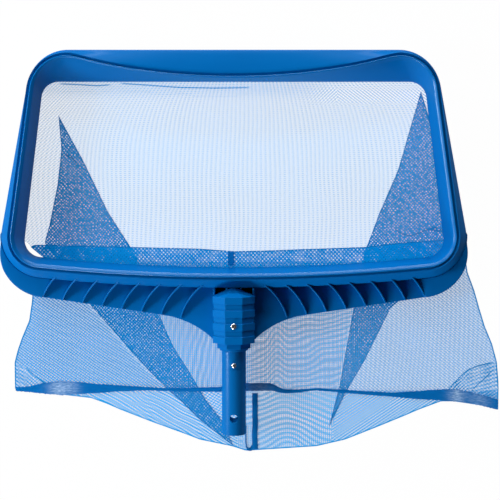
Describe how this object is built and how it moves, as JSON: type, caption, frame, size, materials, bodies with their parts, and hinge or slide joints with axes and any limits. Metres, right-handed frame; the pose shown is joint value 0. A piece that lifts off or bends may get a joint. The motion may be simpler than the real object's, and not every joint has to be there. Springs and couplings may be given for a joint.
{
  "type": "leaf skimmer net",
  "caption": "Wide pool leaf skimmer head: rigid hoop with a ribbed yoke and a spigot handle, and a fine mesh bag folded flat beneath its mouth.",
  "frame": {"origin": "on the handle tube's axis at its open end", "axes": "+Y runs along the tube to the leading edge of the hoop, +X is to the right across the mouth, +Z points out of the mouth; the bag is folded flat on the -Z side"},
  "size_m": [0.5843, 0.47, 0.0546],
  "materials": {
    "hoop_plastic": "moulded polypropylene with a low satin sheen",
    "ring_plastic": "moulded polypropylene with a low satin sheen",
    "coated_tube": "aluminium with a glossy blue coat",
    "steel": "bright plated steel",
    "net": "fine blue monofilament mesh, see-through",
    "hem_net": "the same mesh in doubled layers",
    "seam_tape": "woven tape",
    "cord": "braided cord"
  },
  "bodies": {
    "head": {"frame_hoop": "hoop_plastic", "clamp_ring": "ring_plastic", "handle_yoke": "hoop_plastic", "handle_tube": "coated_tube", "collar_screw": "steel", "button_spring": "steel", "hem_cord": "cord", "hem_band": "hem_net", "back_panel": "net", "front_panel": "net", "hem_fold_band": "hem_net", "fold_left": "net", "fold_right": "net", "bottom_seam": "seam_tape", "centre_seam": "seam_tape", "hem_seam": "seam_tape"},
    "top_button": {"button_top": "steel"},
    "bottom_button": {"button_bottom": "steel"}
  },
  "joints": [
    {"name": "button_top_press", "type": "slide", "parent": "head", "child": "top_button", "axis": [0, 0, -1], "range_m": [0, 0.0038], "stiffness_N_per_m": 2500, "springref_m": -0.001, "deforming": ["button_spring"]},
    {"name": "button_bottom_press", "type": "slide", "parent": "head", "child": "bottom_button", "axis": [0, 0, 1], "range_m": [0, 0.0038], "stiffness_N_per_m": 2500, "springref_m": -0.001}
  ]
}
